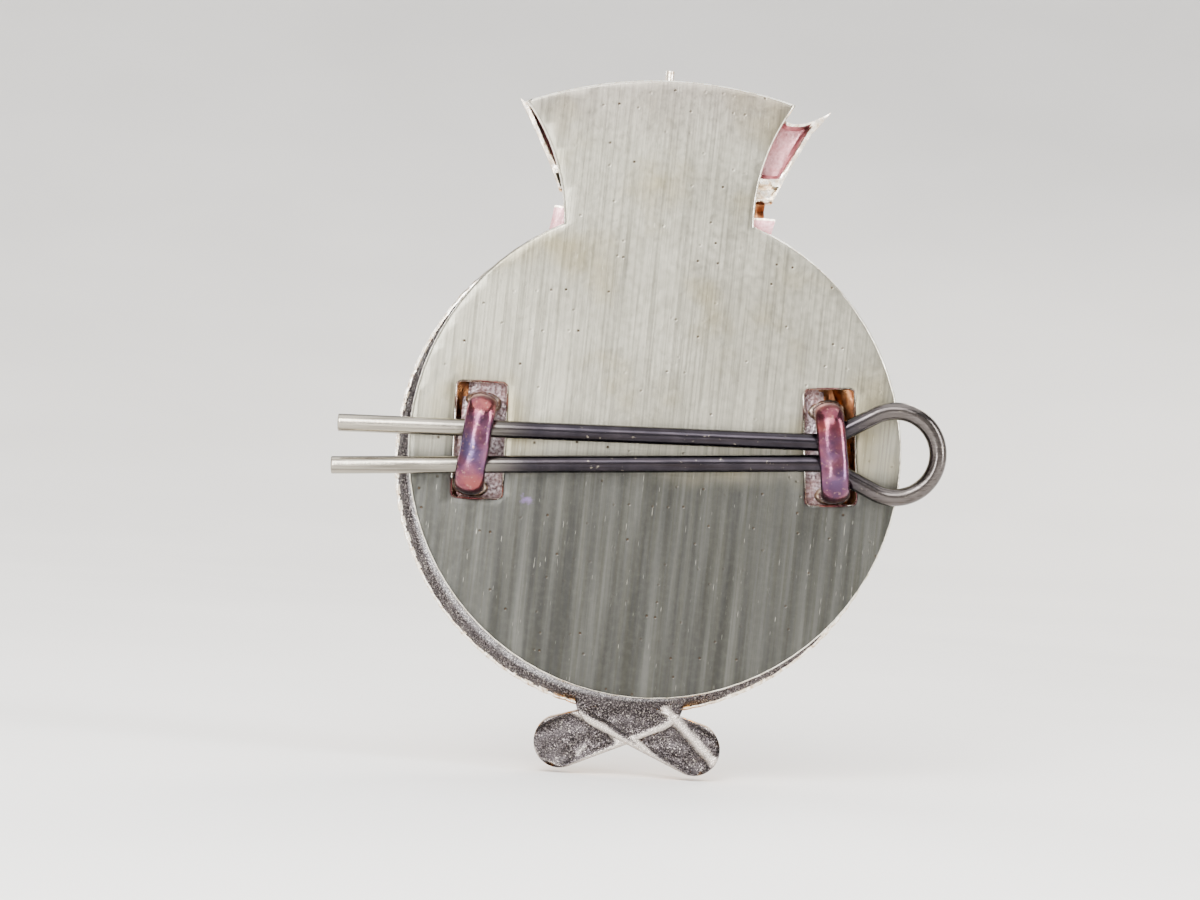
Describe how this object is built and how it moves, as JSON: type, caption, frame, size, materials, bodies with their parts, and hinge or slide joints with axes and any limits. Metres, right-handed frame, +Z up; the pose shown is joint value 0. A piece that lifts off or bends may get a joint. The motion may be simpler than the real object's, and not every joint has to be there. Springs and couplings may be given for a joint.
{
  "type": "cap badge",
  "caption": "Struck metal cap badge: wreath, crown and star front, brazed lugs, slotted back plate and a split pin that holds it to a cap.",
  "frame": {"origin": "centre of the wreath ring, on the rear plane of the front badge, where it bears on the cap", "axes": "+Z up the badge towards the crown, -Y out of its face, +Y towards the back plate and the inside of the cap, +X to the right seen from the front"},
  "size_m": [0.0451, 0.0081, 0.0523],
  "materials": {
    "gilt": "gilt on gilding metal: polished on the face, granular and coppery behind",
    "copper_wire": "flattened copper wire, glossy, with heat tints from the brazing",
    "sheet_brass": "dull tarnished sheet brass with fine rolling lines and bright rubbed edges",
    "pin_brass": "dull brown brass wire, rubbed brighter at the tips"
  },
  "bodies": {
    "front_badge": {"wreath": "gilt", "crown": "gilt", "centre_plate": "gilt", "circlet": "gilt", "centre_star": "gilt", "lug_tip_side": "copper_wire", "lug_eye_side": "copper_wire"},
    "back_plate": {"back_plate": "sheet_brass"},
    "split_pin": {"split_pin": "pin_brass"}
  },
  "joints": [
    {"name": "plate_float", "type": "slide", "parent": "front_badge", "child": "back_plate", "axis": [0, 1, 0], "range_m": [0, 0.00095]},
    {"name": "pin_withdraw", "type": "slide", "parent": "front_badge", "child": "split_pin", "axis": [-0.999, 0, 0.0436], "range_m": [0, 0.0385]}
  ]
}
